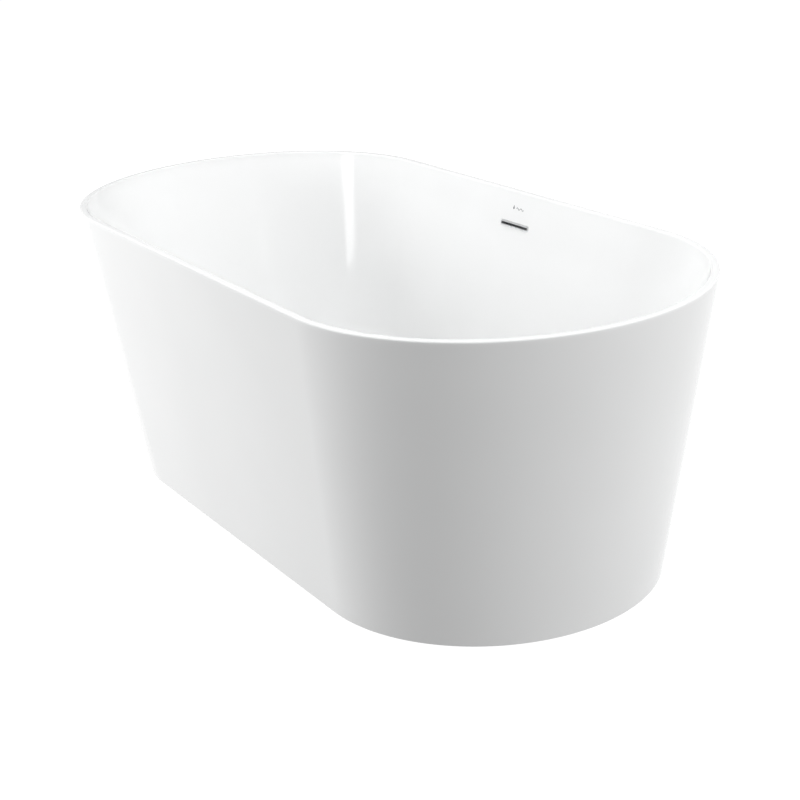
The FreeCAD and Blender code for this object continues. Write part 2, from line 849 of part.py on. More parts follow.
def overflow_housing():
    """The slim plastic box behind the slot, with a spigot that leans down the cavity."""
    body = new_body("overflow_housing")
    wall = size("housing_wall")

    def outline(top, low, inset):
        front = f"{HOUSING_FRONT} + {inset}"
        back = f"{HOUSING_BACK} + {inset}"
        return [
            (wall_reach(top, front), top),
            (wall_reach(low, front), low),
            (apron_reach(low, back), low),
            (apron_reach(top, back), top),
        ]

    outside = new_sketch(body, "YZ_Plane")
    draw_polygon(outside, outline(size("housing_top"), size("housing_bottom"), "0"))
    extrude(body, outside, f"2 * {size('housing_half_width')}", both=True)
    spigot = spigot_sketch(body, size("spigot_radius"))
    extrude(body, spigot, SPIGOT_LENGTH, backwards=True)
    inside = new_sketch(body, "YZ_Plane")
    high = f"{size('housing_top')} - {wall}"
    deep = f"{size('housing_bottom')} + {wall}"
    draw_polygon(inside, outline(high, deep, wall))
    extrude(body, inside, f"2 * ({size('housing_half_width')} - {wall})", "Pocket", both=True)
    bore = spigot_sketch(body, size("spigot_bore"))
    extrude(body, bore, f"{SPIGOT_LENGTH} + 1", "Pocket")
    cut_front = new_sketch(body, "XZ_Plane",
                           ("0", "0", f"-({wall_reach(size('slot_level'), HOUSING_FRONT)} + 4)"))
    radius = f"{size('slot_half_height')} + {TRIM_MARGIN}"
    straight = f"{size('slot_half_length')} - {size('slot_half_height')}"
    draw_racetrack(cut_front, radius, straight, size("slot_level"))
    extrude(body, cut_front, "20", "Pocket", backwards=True)
    return keep(body, "overflow_housing")


def cavity_middle(level):
    """Y half-way between the laminate of the well and that of the apron."""
    inset = f"{size('skirt_wall')} + {size('skirt_laminate')}"
    return f"({wall_reach(level, SHELL)} + {apron_reach(level, inset)}) / 2"


CAVITY_LEAN = (
    f"atan(({WELL_LEAN} + ({size('rim_radius')} - {size('base_radius')})"
    f" / {size('tub_height')}) / 2)"
)
SPIGOT_LENGTH = f"({size('spigot_start')} - {size('spigot_end')}) / cos({CAVITY_LEAN})"


def spigot_sketch(body, radius):
    """A circle square to the cavity's lean at the top of the spigot."""
    level = size("spigot_start")
    sketch = new_sketch(body, "XY_Plane", ("0", cavity_middle(level), level), f"-{CAVITY_LEAN}")
    draw_circle(sketch, radius)
    return sketch


def overflow_hose():
    """The corrugated hose: down the cavity on its lean, one wide bend, level to the tee."""
    body = new_body("overflow_hose")
    route = new_sketch(body, "YZ_Plane")
    top = size("hose_top")
    level = size("hose_level")
    start_y = value(cavity_middle(top))
    start_z = value(top)
    low_z = value(level)
    lean = math.radians(value(CAVITY_LEAN))
    corner_y = start_y - (start_z - low_z) * math.tan(lean)
    bend = value(size("hose_bend"))
    tangent = bend * math.tan((math.pi / 2 - lean) / 2)
    first = FreeCAD.Vector(start_y, start_z, 0)
    before = FreeCAD.Vector(corner_y + tangent * math.sin(lean), low_z + tangent * math.cos(lean), 0)
    after = FreeCAD.Vector(corner_y - tangent, low_z, 0)
    centre = FreeCAD.Vector(after.x, low_z + bend, 0)
    last = FreeCAD.Vector(value(size("hose_end")), low_z, 0)
    route.addGeometry(Part.LineSegment(first, before), False)
    circle = Part.Circle(centre, FreeCAD.Vector(0, 0, 1), bend)
    route.addGeometry(Part.ArcOfCircle(circle, -math.pi / 2, -lean), False)
    route.addGeometry(Part.LineSegment(after, last), False)
    constrain(route, "Tangent", 0, 2, 1, 2)
    constrain(route, "Tangent", 1, 1, 2, 1)
    pin_point(route, 0, 1, cavity_middle(top), top)
    pin_point(route, 2, 2, size("hose_end"), level)
    constrain(route, "Horizontal", 2)
    constrain(route, "Radius", 1, expression=size("hose_bend"))
    constrain(route, "Angle", -1, 1, 0, 2, expression=f"90 deg - {CAVITY_LEAN}")
    section = new_sketch(body, "XY_Plane", ("0", cavity_middle(top), top), f"-{CAVITY_LEAN}")
    draw_circle(section, size("hose_radius"))
    draw_circle(section, size("spigot_radius"))
    doc.recompute()
    pipe = body.newObject("PartDesign::AdditivePipe", "Pipe")
    pipe.Profile = section
    pipe.Spine = (route, ["Edge1", "Edge2", "Edge3"])
    doc.recompute()
    length = (first - before).Length + bend * (math.pi / 2 - lean) + (after - last).Length
    area = math.pi * (value(size("hose_radius")) ** 2 - value(size("spigot_radius")) ** 2)
    print(f"hose length {length:.1f} mm, volume over section x length "
          f"{pipe.Shape.Volume / (area * length):.4f}")
    return keep(body, "overflow_hose")


def hose_clamp(label, place, turn):
    """A steel band round the hose with a screw block on its side."""
    body = new_body(label)
    inner = size("hose_radius")
    outer = f"{inner} + {size('clamp_band')}"
    block_end = f"{outer} + 7"
    band = new_sketch(body, "XY_Plane")
    draw_circle(band, outer)
    extrude(body, band, size("clamp_width"), both=True)
    block = new_sketch(body, "XY_Plane")
    draw_box(block, inner, block_end, "-7", "7")
    extrude(body, block, size("clamp_width"), both=True)
    bore = new_sketch(body, "XY_Plane")
    draw_circle(bore, inner)
    extrude(body, bore, f"2 * {size('clamp_width')}", "Pocket", both=True)
    body.Placement = FreeCAD.Placement(
        FreeCAD.Vector(0, 0, 0), FreeCAD.Rotation(FreeCAD.Vector(1, 0, 0), 1)
    )
    body.setExpression("Placement.Rotation.Angle", turn)
    move(body, place)
    return keep(body, label)


# ---------------------------------------------------------------- drain
DISH = f"({size('floor_level')} - {size('dish_depth')})"
FLANGE_UNDER = f"({DISH} + {size('drain_seal')})"
FLANGE_TOP = f"({FLANGE_UNDER} + {size('drain_flange')})"
TEE_TOP = f"({BOARD_TOP} - {size('lower_seal')})"
CAP_UNDER = f"({FLANGE_TOP} + {size('cap_seal')})"


def drain_flange():
    """The chromed waste flange: a bevelled disc with a threaded tube below."""
    profile = [
        (size("drain_tube_bore"), size("drain_tube_bottom")),
        (size("drain_tube_radius"), size("drain_tube_bottom")),
        (size("drain_tube_radius"), FLANGE_UNDER),
        (size("drain_flange_radius"), FLANGE_UNDER),
        (size("drain_flange_radius"), f"{FLANGE_UNDER} + 0.8"),
        (f"{size('drain_flange_radius')} - 2", FLANGE_TOP),
        (f"{size('drain_tube_bore')} + 1.5", FLANGE_TOP),
        (size("drain_tube_bore"), f"{FLANGE_TOP} - 1.5"),
    ]
    return turned("drain_flange", profile)


def drain_tee():
    """The moulded waste body: clamp flange, chamber, side inlet for the hose, threaded neck."""
    body = new_body("drain_tee")
    chamber = f"{size('drain_tube_radius')} + 0.2"
    profile = [
        (f"{size('tail_neck')} + 0.3", size("tee_bottom")),
        (size("tee_neck_radius"), size("tee_bottom")),
        (size("tee_neck_radius"), size("tee_neck_top")),
        (size("tee_radius"), f"{size('tee_neck_top')} + 5"),
        (size("tee_radius"), f"{TEE_TOP} - {size('tee_flange')} - 6"),
        (size("tee_flange_radius"), f"{TEE_TOP} - {size('tee_flange')}"),
        (size("tee_flange_radius"), TEE_TOP),
        (chamber, TEE_TOP),
        (chamber, f"{size('tail_top')} + 6"),
        (f"{size('tail_neck')} + 0.3", f"{size('tail_top')} + 1"),
    ]
    section = new_sketch(body, "XZ_Plane")
    draw_polygon(section, profile)
    revolve(body, section)
    start = f"{size('tee_radius')} - 2"
    inlet = new_sketch(body, "XZ_Plane", ("0", "0", f"-({start})"))
    draw_circle(inlet, size("spigot_radius"), "0", size("hose_level"))
    extrude(body, inlet, f"{size('inlet_end')} - ({start})", backwards=True)
    bore = new_sketch(body, "XZ_Plane", ("0", "0", f"-({size('inlet_end')} + 1)"))
    draw_circle(bore, size("spigot_bore"), "0", size("hose_level"))
    extrude(body, bore, f"{size('inlet_end')} - 10", "Pocket", backwards=True)
    return keep(body, "drain_tee")


def outlet_pipe():
    """The outlet tube: its free end is a collar, thicker than the neck inside the waste body."""
    profile = [
        (size("tail_bore"), size("tail_bottom")),
        (size("tail_radius"), size("tail_bottom")),
        (size("tail_radius"), size("tail_collar")),
        (size("tail_neck"), size("tail_collar")),
        (size("tail_neck"), size("tail_top")),
        (size("tail_bore"), size("tail_top")),
    ]
    return turned("outlet_pipe", profile)


def slip_nut():
    """The hand nut of the outlet: a ring with grip flutes, closed in below round the pipe."""
    body = new_body("slip_nut")
    top = f"{size('tee_bottom')} + 10"
    bottom = f"{top} - {size('slip_nut_height')}"
    profile = [
        (f"{size('tail_neck')} + 0.2", bottom),
        (f"{size('slip_nut_radius')} - 2", bottom),
        (size("slip_nut_radius"), f"{bottom} + 2"),
        (size("slip_nut_radius"), top),
        (f"{size('tee_neck_radius')} + 0.1", top),
        (f"{size('tee_neck_radius')} + 0.1", f"{bottom} + 4"),
        (f"{size('tail_neck')} + 0.2", f"{bottom} + 4"),
    ]
    section = new_sketch(body, "XZ_Plane")
    draw_polygon(section, profile)
    revolve(body, section)
    flute = new_sketch(body, "XY_Plane", ("0", "0", f"{top} + 1"))
    draw_circle(flute, size("slip_flute_radius"), f"{size('slip_nut_radius')} + 0.8")
    cut = extrude(body, flute, f"{size('slip_nut_height')} + 2", "Pocket")
    pattern = body.newObject("PartDesign::PolarPattern", "Flutes")
    pattern.Originals = [cut]
    pattern.Axis = (flute, ["N_Axis"])
    pattern.Angle = 360
    pattern.setExpression("Occurrences", size("slip_flutes"))
    body.Tip = pattern
    doc.recompute()
    return keep(body, "slip_nut")


# ---------------------------------------------------------------- pop-up stopper
def stopper_cap():
    """The domed chromed cap over the waste."""
    radius = size("cap_radius")
    edge = f"{CAP_UNDER} + {size('cap_edge')}"
    rise = f"({size('cap_dome')} - {size('cap_edge')})"
    profile = [
        ("0", CAP_UNDER),
        (f"{radius} - 1", CAP_UNDER),
        (radius, f"{CAP_UNDER} + 1"),
        (radius, f"{edge} - 1"),
        (f"{radius} - 1.5", edge),
        (f"{radius} * 0.75", f"{edge} + {rise} * 0.45"),
        (f"{radius} * 0.45", f"{edge} + {rise} * 0.8"),
        ("0", f"{CAP_UNDER} + {size('cap_dome')}"),
    ]
    return turned("stopper_cap", profile)


def stopper_cartridge():
    """The spider that holds the click mechanism in the middle of the waste tube."""
    body = new_body("stopper_cartridge")
    hub = [
        (f"{size('stopper_stem_radius')} + 0.1", size("cartridge_bottom")),
        (size("cartridge_radius"), size("cartridge_bottom")),
        (size("cartridge_radius"), size("cartridge_top")),
        (f"{size('stopper_stem_radius')} + 0.1", size("cartridge_top")),
    ]
    section = new_sketch(body, "XZ_Plane")
    draw_polygon(section, hub)
    revolve(body, section)
    spoke = new_sketch(body, "XY_Plane", ("0", "0", f"{size('cartridge_bottom')} + {size('spoke_height')}"))
    half = f"{size('spoke_width')} / 2"
    draw_box(spoke, f"{size('cartridge_radius')} - 1", f"{size('drain_tube_bore')} - 0.3",
             f"-{half}", half)
    arm = extrude(body, spoke, size("spoke_height"))
    pattern = body.newObject("PartDesign::PolarPattern", "Spokes")
    pattern.Originals = [arm]
    pattern.Axis = (spoke, ["N_Axis"])
    pattern.Angle = 360
    pattern.setExpression("Occurrences", size("spokes"))
    body.Tip = pattern
    doc.recompute()
    return keep(body, "stopper_cartridge")


# ---------------------------------------------------------------- assembly
basin()
basin_laminate()
skirt()
skirt_laminate()
rim_bond()
floor_board()
for side_name, side in SIDES.items():
    rail(side_name, side)
for bar_name, along in CROSSBARS.items():
    crossbar(bar_name, along)
board_screws()
frame_bolts()
for label, along, side in bracket_places():
    skirt_bracket(label, along, side)
bracket_bolts()
flange_screws()

nuts("weld_nuts", RAIL_BOTTOM)
nuts("lock_nuts", f"{BAR_BOTTOM} - {size('nut_height')}")
for foot_name, along, across in foot_places():
    foot_pad(foot_name, along, across)
    foot_stem(foot_name, along, across)

overflow_trim()
overflow_gasket()
overflow_housing()
overflow_hose()
upper_clamp = f"{size('hose_top')} - 14"
hose_clamp("hose_clamp_upper", ("0", cavity_middle(upper_clamp), upper_clamp), f"-{CAVITY_LEAN}")
hose_clamp("hose_clamp_lower", ("0", f"{size('hose_end')} + 14", size("hose_level")), "90 deg")

drain_flange()
turned("drain_seal_upper", ring_profile(f"{size('drain_hole')} + 1", f"{size('drain_flange_radius')} - 1",
                                        DISH, FLANGE_UNDER))
turned("drain_seal_lower", ring_profile(f"{size('drain_hole')}", f"{size('tee_flange_radius')} - 1",
                                        TEE_TOP, BOARD_TOP))
drain_tee()
slip_nut()
turned("slip_washer", ring_profile(size("tail_neck"), f"{size('tee_neck_radius')} - 0.5",
                                   f"{size('tee_bottom')} - 4", size("tee_bottom")))
outlet_pipe()

stopper_cap()
turned("stopper_seal", ring_profile(f"{size('drain_tube_bore')} + 1.8", f"{size('cap_radius')} - 3",
                                    FLANGE_TOP, CAP_UNDER))
turned("stopper_stem", ring_profile("0", size("stopper_stem_radius"),
                                    size("stopper_stem_bottom"), CAP_UNDER))
turned("stopper_spring", ring_profile(size("spring_inner"), size("spring_outer"),
                                      size("cartridge_top"), CAP_UNDER))
stopper_cartridge()

doc.recompute()
for item in doc.Objects:
    if "Invalid" in item.State or "Error" in item.State:
        raise RuntimeError(f"{item.Name} ({item.Label}) failed: {item.State}")
for part in parts:
    if part.Shape.isNull() or not part.Shape.isValid():
        raise RuntimeError(f"{part.Label} has no valid shape")

os.makedirs("parts", exist_ok=True)
for part in parts:
    part.Shape.exportStep(f"parts/{part.Label}.step")
    box = part.Shape.BoundBox
    print(f"{part.Label:28s} solids {len(part.Shape.Solids):2d}  volume {part.Shape.Volume:12.0f}  "
          f"z {box.ZMin:7.1f} {box.ZMax:7.1f}  y {box.YMin:7.1f} {box.YMax:7.1f}")
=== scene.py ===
from math import atan, cos, pi, radians, sin, sqrt, tan

import bmesh
import bpy
from mathutils import Matrix, Quaternion, Vector


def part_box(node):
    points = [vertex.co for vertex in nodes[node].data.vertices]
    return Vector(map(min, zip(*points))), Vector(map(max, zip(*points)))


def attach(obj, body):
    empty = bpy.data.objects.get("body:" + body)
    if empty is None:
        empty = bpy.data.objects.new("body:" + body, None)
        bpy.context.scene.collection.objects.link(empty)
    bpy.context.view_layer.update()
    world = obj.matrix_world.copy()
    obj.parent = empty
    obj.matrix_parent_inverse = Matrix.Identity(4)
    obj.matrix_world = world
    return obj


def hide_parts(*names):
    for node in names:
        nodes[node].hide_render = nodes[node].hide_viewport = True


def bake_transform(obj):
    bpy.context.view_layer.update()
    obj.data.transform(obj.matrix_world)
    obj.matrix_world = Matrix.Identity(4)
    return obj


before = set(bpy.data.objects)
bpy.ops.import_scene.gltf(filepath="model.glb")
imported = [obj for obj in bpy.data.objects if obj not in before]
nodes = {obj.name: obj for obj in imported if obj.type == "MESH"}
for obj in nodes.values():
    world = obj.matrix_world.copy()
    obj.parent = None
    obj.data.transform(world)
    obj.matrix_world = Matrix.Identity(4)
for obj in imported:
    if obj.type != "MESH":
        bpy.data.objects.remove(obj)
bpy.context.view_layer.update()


# ---------------------------------------------------------------- bathing shell
# The shell is a sheet of white sanitary acrylic, vacuum formed in one piece: straight walls
# that lean out from a rounded floor corner to a thin rim with soft edges.
# It is polished after forming, so the surface is glossy with a faint long ripple.
TUB_HEIGHT = 0.600
RIM_RADIUS = 0.400
RIM_STRAIGHT = 0.450
BASE_RADIUS = 0.336
BASE_STRAIGHT = 0.388
MOUTH_RADIUS = 0.385
LIP_LEVEL = 0.590
EDGE_ROUNDING = 0.0035
FLOOR_LEVEL = 0.150
FLOOR_RADIUS = 0.250
FLOOR_STRAIGHT = 0.370
FLOOR_FILLET = 0.110
ACRYLIC = 0.0045
DISH_RADIUS = 0.040
DISH_DEPTH = 0.002
DISH_SLOPE = 0.001
DISH_BRIM = 0.0015
DISH_BRIM_DROP = 0.0004
DRAIN_HOLE = 0.0265
WELL_WALL_LEVELS = (0.30, 0.40, 0.50)
WELL_WALL_TOP = 0.58
OUTLINE_STEPS = 192
SIDE_LEAN = (MOUTH_RADIUS - FLOOR_RADIUS) / (TUB_HEIGHT - FLOOR_LEVEL)
END_LEAN = SIDE_LEAN + (RIM_STRAIGHT - FLOOR_STRAIGHT) / (TUB_HEIGHT - FLOOR_LEVEL)


def outline(mesh, radius, straight, level):
    """A circle opened at its middle, its two halves drawn apart into a racetrack."""
    turn = Matrix.Rotation(pi / OUTLINE_STEPS, 4, "Z")
    place = Matrix.Translation((0, 0, level)) @ turn
    circle = bmesh.ops.create_circle(mesh, segments=OUTLINE_STEPS, radius=radius, matrix=place)
    for vertex in circle["verts"]:
        vertex.co.x += straight if vertex.co.x > 0 else -straight
    return circle["verts"]


def loop_edges(ring):
    """The edges that run round one ring of vertices."""
    members = set(ring)
    edges = {edge for vertex in ring for edge in vertex.link_edges}
    return [edge for edge in edges if members.issuperset(edge.verts)]


def drawn_on(mesh, edges):
    """Extrude a ring of edges in place and give the new ring's vertices and edges."""
    drawn = bmesh.ops.extrude_edge_only(mesh, edges=edges)["geom"]
    verts = [item for item in drawn if isinstance(item, bmesh.types.BMVert)]
    return verts, loop_edges(verts)


def form_wall(mesh, forms, closed=True):
    """Draw a racetrack edge on through (radius, straight, level) forms, back to the first if closed."""
    radius, straight, level = forms[0]
    edges = loop_edges(outline(mesh, radius, straight, level))
    for next_radius, next_straight, next_level in forms[1:] + forms[:closed]:
        verts, edges = drawn_on(mesh, edges)
        for vertex in verts:
            side = 1 if vertex.co.x > 0 else -1
            across = (vertex.co.x - side * straight) * next_radius / radius
            vertex.co.x = across + side * next_straight
            vertex.co.y *= next_radius / radius
            vertex.co.z = next_level
        radius, straight = next_radius, next_straight


def outer_form(level):
    """End radius and half straight of the tub's outside at a level."""
    share = level / TUB_HEIGHT
    radius = BASE_RADIUS + (RIM_RADIUS - BASE_RADIUS) * share
    return radius, BASE_STRAIGHT + (RIM_STRAIGHT - BASE_STRAIGHT) * share


def well_form(level, outset=0.0):
    """End radius and half straight of the bathing form, its floor corner included."""
    centre = FLOOR_LEVEL + FLOOR_FILLET
    fillet = FLOOR_FILLET + outset
    reaches = []
    for lean, mouth in ((SIDE_LEAN, MOUTH_RADIUS), (END_LEAN, MOUTH_RADIUS + RIM_STRAIGHT)):
        tangent_level = centre - fillet * sin(atan(lean))
        reach = mouth - lean * (TUB_HEIGHT - level) + outset
        if level < tangent_level:
            middle = mouth - lean * (TUB_HEIGHT - centre) + outset - fillet / cos(atan(lean))
            reach = middle + sqrt(max(0.0, fillet ** 2 - (centre - level) ** 2))
        reaches.append(reach)
    return reaches[0], reaches[1] - reaches[0]


def well_forms(outset, top):
    """The bathing form's outlines from its floor edge up to a level."""
    centre = FLOOR_LEVEL + FLOOR_FILLET
    fillet = FLOOR_FILLET + outset
    levels = [centre - fillet * cos(radians(step)) for step in range(0, 76, 5)]
    levels += [*WELL_WALL_LEVELS, top]
    return [(*well_form(level, outset), level) for level in levels]


def bathing_shell_mesh():
    mesh = bmesh.new()
    under = FLOOR_LEVEL - ACRYLIC
    shoulder = TUB_HEIGHT - EDGE_ROUNDING
    forms = [(*outer_form(LIP_LEVEL), LIP_LEVEL)]
    radius, straight = outer_form(shoulder)
    for step in range(0, 91, 15):
        swing = radians(step)
        reach = radius - EDGE_ROUNDING + EDGE_ROUNDING * cos(swing)
        forms.append((reach, straight, shoulder + EDGE_ROUNDING * sin(swing)))
    radius, straight = well_form(shoulder)
    for step in range(90, -1, -15):
        swing = radians(step)
        reach = radius + EDGE_ROUNDING - EDGE_ROUNDING * cos(swing)
        forms.append((reach, straight, shoulder + EDGE_ROUNDING * sin(swing)))
    forms += reversed(well_forms(0.0, WELL_WALL_TOP))
    forms.append((DISH_RADIUS + DISH_BRIM, 0, FLOOR_LEVEL))
    forms.append((DISH_RADIUS, 0, FLOOR_LEVEL - DISH_BRIM_DROP))
    forms.append((DISH_RADIUS - DISH_SLOPE, 0, FLOOR_LEVEL - DISH_DEPTH))
    forms.append((DRAIN_HOLE, 0, FLOOR_LEVEL - DISH_DEPTH))
    forms.append((DRAIN_HOLE, 0, under))
    forms += well_forms(ACRYLIC, LIP_LEVEL)
    form_wall(mesh, forms)
    return mesh


def make_piece(name, mesh, material, body, *replaced, sharp=35):
    """Close a mesh into an object that rides on its body and stands for its nodes."""
    piece = make_loose(name, mesh, material, sharp)
    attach(piece, body)
    if replaced:
        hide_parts(*replaced)
    return piece


def make_loose(name, mesh, material, sharp=35):
    """Close a mesh into an object that rides on nothing yet."""
    bmesh.ops.remove_doubles(mesh, verts=mesh.verts, dist=1e-5)
    bmesh.ops.recalc_face_normals(mesh, faces=mesh.faces)
    data = bpy.data.meshes.new(name)
    mesh.to_mesh(data)
    mesh.free()
    data.polygons.foreach_set("use_smooth", [True] * len(data.polygons))
    data.set_sharp_from_angle(angle=radians(sharp))
    data.materials.append(material)
    piece = bpy.data.objects.new(name, data)
    bpy.context.scene.collection.objects.link(piece)
    return piece


class Finish:
    """A procedural material under construction: its shader, its nodes and their links."""

    def __init__(self, name, roughness, metallic=0.0, ior=1.5):
        self.material = bpy.data.materials.new(name)
        self.material.use_nodes = True
        self.tree = self.material.node_tree
        self.shader = self.tree.nodes["Principled BSDF"]
        self.shader.inputs["Roughness"].default_value = roughness
        self.shader.inputs["Metallic"].default_value = metallic
        self.shader.inputs["IOR"].default_value = ior
        self.place = self.node("ShaderNodeTexCoord").outputs["Object"]

    def node(self, kind, **inputs):
        made = self.tree.nodes.new(kind)
        for name, setting in inputs.items():
            socket = made.inputs[name.replace("_", " ")]
            if isinstance(setting, bpy.types.NodeSocket):
                self.tree.links.new(setting, socket)
            else:
                socket.default_value = setting
        return made

    def stretched(self, scale):
        """Object coordinates squeezed by a scale along each axis."""
        return self.node("ShaderNodeMapping", Vector=self.place, Scale=scale).outputs["Vector"]

    def noise(self, scale, detail=4.0, vector=None):
        made = self.node("ShaderNodeTexNoise", Vector=vector or self.place, Scale=scale)
        made.inputs["Detail"].default_value = detail
        return made.outputs["Fac"]

    def cells(self, scale, vector=None):
        made = self.node("ShaderNodeTexVoronoi", Vector=vector or self.place, Scale=scale)
        return made.outputs["Distance"]

    def between(self, pattern, low, high):
        """A pattern's 0.3 to 0.7 spread over another range."""
        made = self.node("ShaderNodeMapRange", Value=pattern)
        for name, setting in (("From Min", 0.3), ("From Max", 0.7), ("To Min", low), ("To Max", high)):
            made.inputs[name].default_value = setting
        return made.outputs["Result"]

    def colour(self, pattern, dark, light):
        ramp = self.node("ShaderNodeValToRGB", Fac=pattern)
        ramp.color_ramp.elements[0].position = 0.3
        ramp.color_ramp.elements[1].position = 0.7
        ramp.color_ramp.elements[0].color = (*dark, 1)
        ramp.color_ramp.elements[1].color = (*light, 1)
        self.tree.links.new(ramp.outputs["Color"], self.shader.inputs["Base Color"])
        return self

    def roughness(self, pattern, low, high):
        self.tree.links.new(self.between(pattern, low, high), self.shader.inputs["Roughness"])
        return self

    def relief(self, pattern, depth, strength=1.0):
        bump = self.node("ShaderNodeBump", Height=pattern, Distance=depth, Strength=strength)
        self.tree.links.new(bump.outputs["Normal"], self.shader.inputs["Normal"])
        return self


def polished_acrylic():
    finish = Finish("polished_acrylic", 0.08, ior=1.49)
    finish.colour(finish.noise(3.0, 2.0), (0.80, 0.805, 0.805), (0.825, 0.83, 0.83))
    finish.roughness(finish.noise(9.0, 3.0), 0.06, 0.11)
    finish.relief(finish.noise(2.2, 1.0), 0.0012, 0.35)
    return finish.material


acrylic = polished_acrylic()
SLOT_LEVEL = 0.532
SLOT_HALF_LENGTH = 0.048
SLOT_HALF_HEIGHT = 0.00375
SLOT_CUT_REACH = 0.03
WALL_TILT = pi / 2 - atan(SIDE_LEAN)


def lay_on_wall(mesh, across, level, proud=0.0):
    """Stand a form drawn flat on the back wall; what lies behind the wall's face runs level."""
    for vertex in mesh.verts:
        if vertex.co.z < 0:
            vertex.co.y -= vertex.co.z * SIDE_LEAN
    reach, _ = well_form(level)
    turn = Matrix.Rotation(WALL_TILT, 4, "X") @ Matrix.Translation((0, 0, proud))
    place = Matrix.Translation((across, reach, level))
    bmesh.ops.transform(mesh, matrix=place @ turn, verts=mesh.verts)


def cut_slot(piece, radius, straight):
    """Cut the overflow opening level through a piece's back wall."""
    mesh = bmesh.new()
    depths = (-SLOT_CUT_REACH, 0.0, SLOT_CUT_REACH)
    form_wall(mesh, [(radius, straight, depth) for depth in depths], closed=False)
    ends = [edge for edge in mesh.edges if edge.is_boundary]
    bmesh.ops.holes_fill(mesh, edges=ends, sides=0)
    lay_on_wall(mesh, 0.0, SLOT_LEVEL)
    bmesh.ops.recalc_face_normals(mesh, faces=mesh.faces)
    data = bpy.data.meshes.new("slot_cutter")
    mesh.to_mesh(data)
    mesh.free()
    cutter = bpy.data.objects.new("slot_cutter", data)
    bpy.context.scene.collection.objects.link(cutter)
    cut = piece.modifiers.new("slot", "BOOLEAN")
    cut.operation = "DIFFERENCE"
    cut.object = cutter
    cut.solver = "EXACT"
    graph = bpy.context.evaluated_depsgraph_get()
    result = bpy.data.meshes.new_from_object(piece.evaluated_get(graph))
    piece.modifiers.clear()
    piece.data = result
    bpy.data.objects.remove(cutter)


bathing_shell = make_piece("bathing_shell", bathing_shell_mesh(), acrylic, "tub", "basin")
cut_slot(bathing_shell, SLOT_HALF_HEIGHT, SLOT_HALF_LENGTH - SLOT_HALF_HEIGHT)


# ---------------------------------------------------------------- apron
# The outside is one more sheet of the same acrylic, formed to the straight taper, bonded flush
# under the rim and sanded, so that no seam shows. Its lower edge turns in as a narrow flange
# that hangs a few millimetres off the floor.
APRON_BOTTOM = 0.004
APRON_WALL = 0.005
APRON_FLANGE = 0.033
APRON_EDGE = 0.002
APRON_LEVELS = (0.15, 0.30, 0.45)
APRON_LOWEST_LEVEL = 0.05


def apron_mesh():
    mesh = bmesh.new()
    forms = [(*outer_form(level), level)
             for level in (LIP_LEVEL, *APRON_LEVELS[::-1], APRON_LOWEST_LEVEL)]
    radius, straight = outer_form(APRON_BOTTOM + APRON_EDGE)
    for step in range(0, 91, 18):
        swing = radians(step)
        reach = radius - APRON_EDGE + APRON_EDGE * cos(swing)
        forms.append((reach, straight, APRON_BOTTOM + APRON_EDGE * (1 - sin(swing))))
    forms.append((radius - APRON_FLANGE, straight, APRON_BOTTOM))
    forms.append((radius - APRON_FLANGE, straight, APRON_BOTTOM + APRON_WALL))
    for level in (APRON_BOTTOM + APRON_WALL, *APRON_LEVELS, LIP_LEVEL):
        radius, straight = outer_form(level)
        forms.append((radius - APRON_WALL, straight, level))
    form_wall(mesh, forms)
    return mesh


apron = make_piece("apron", apron_mesh(), acrylic, "tub", "skirt")


# ---------------------------------------------------------------- laminate and bonding paste
# Behind both sheets of acrylic, chopped glass fibre and polyester resin are sprayed on and
# rolled down: rough, slightly green and see-through in places. A bead of thick paste bonds the
# apron under the rim.
def dress(material, *names):
    """Give a finish to pieces that keep their own solid's shape."""
    for name in names:
        data = nodes[name].data
        data.materials.clear()
        data.materials.append(material)


def glass_laminate():
    finish = Finish("glass_laminate", 0.5)
    strands = finish.noise(260.0, 6.0, finish.stretched((1.0, 0.35, 0.7)))
    finish.colour(finish.noise(38.0, 8.0), (0.50, 0.53, 0.40), (0.72, 0.73, 0.60))
    finish.roughness(finish.cells(60.0), 0.35, 0.7)
    finish.relief(strands, 0.0015, 0.8)
    return finish.material


def bonding_paste():
    finish = Finish("bonding_paste", 0.7)
    finish.colour(finish.noise(60.0), (0.62, 0.60, 0.52), (0.74, 0.72, 0.64))
    finish.relief(finish.noise(90.0), 0.002, 0.7)
    return finish.material


dress(glass_laminate(), "basin_laminate", "skirt_laminate")
dress(bonding_paste(), "rim_bond")


# ---------------------------------------------------------------- floor board
# A birch plywood board is pressed into the wet laminate under the floor and carries the frame.
def birch_plywood():
    finish = Finish("birch_plywood", 0.6)
    grain = finish.noise(34.0, 7.0, finish.stretched((0.12, 2.2, 1.0)))
    finish.colour(grain, (0.44, 0.29, 0.15), (0.66, 0.49, 0.30))
    finish.roughness(finish.noise(20.0), 0.5, 0.75)
    finish.relief(grain, 0.0006, 0.6)
    return finish.material


dress(birch_plywood(), "floor_board")


# ---------------------------------------------------------------- steel frame
# Two rails and three crossbars of galvanised tube are bolted together under the board, and
# bent straps reach down from the crossbar ends to the apron's flange.
def galvanised_steel():
    finish = Finish("galvanised_steel", 0.45, metallic=1.0)
    spangle = finish.cells(240.0)
    finish.colour(spangle, (0.48, 0.50, 0.52), (0.60, 0.62, 0.64))
    finish.roughness(spangle, 0.36, 0.50)
    finish.relief(finish.noise(400.0), 0.0002, 0.4)
    return finish.material


dress(galvanised_steel(), "rail_front", "rail_back", "crossbar_left", "crossbar_mid",
      "crossbar_right", "bracket_front_left", "bracket_back_left", "bracket_front_right",
      "bracket_back_right")


